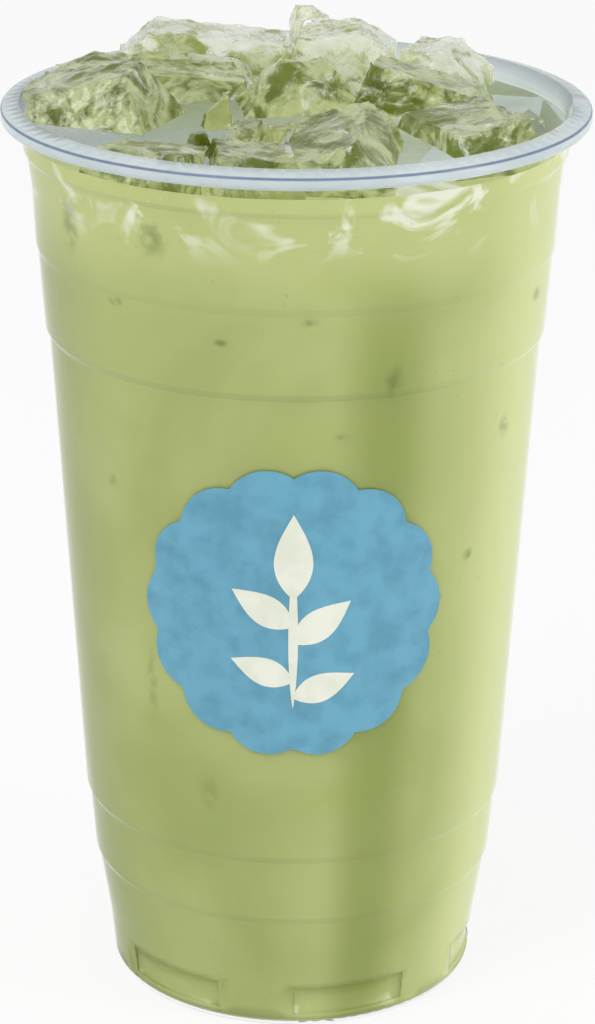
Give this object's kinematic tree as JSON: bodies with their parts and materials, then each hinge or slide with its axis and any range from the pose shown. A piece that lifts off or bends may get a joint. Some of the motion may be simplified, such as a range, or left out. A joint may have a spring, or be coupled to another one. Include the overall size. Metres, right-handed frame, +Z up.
{
  "type": "iced matcha latte",
  "caption": "Iced matcha latte in a tall clear plastic cup with a rolled rim and stacking rings, heaped with ice up past the rim.",
  "frame": {"origin": "centre of the ring that the cup stands on, at table height", "axes": "+Z up along the cup's axis, -Y towards the front of the cup, +X to the right seen from the front"},
  "size_m": [0.098, 0.098, 0.166],
  "materials": {
    "cup_plastic": "clear glossy plastic",
    "latte": "milky pale green drink",
    "ice": "wet ice, clear with frosty patches"
  },
  "bodies": {
    "root": {"cup": "cup_plastic", "latte": "latte", "ice_left": "ice", "ice_right": "ice", "ice_front": "ice", "ice_front_low": "ice", "ice_front_left": "ice", "ice_nub": "ice", "ice_pocket": "ice", "ice_small": "ice", "ice_spike": "ice", "ice_chip": "ice", "ice_middle": "ice", "ice_right_middle": "ice", "ice_left_slab": "ice", "ice_back": "ice", "ice_back_shard": "ice", "ice_back_right": "ice", "ice_back_left": "ice"}
  },
  "joints": []
}
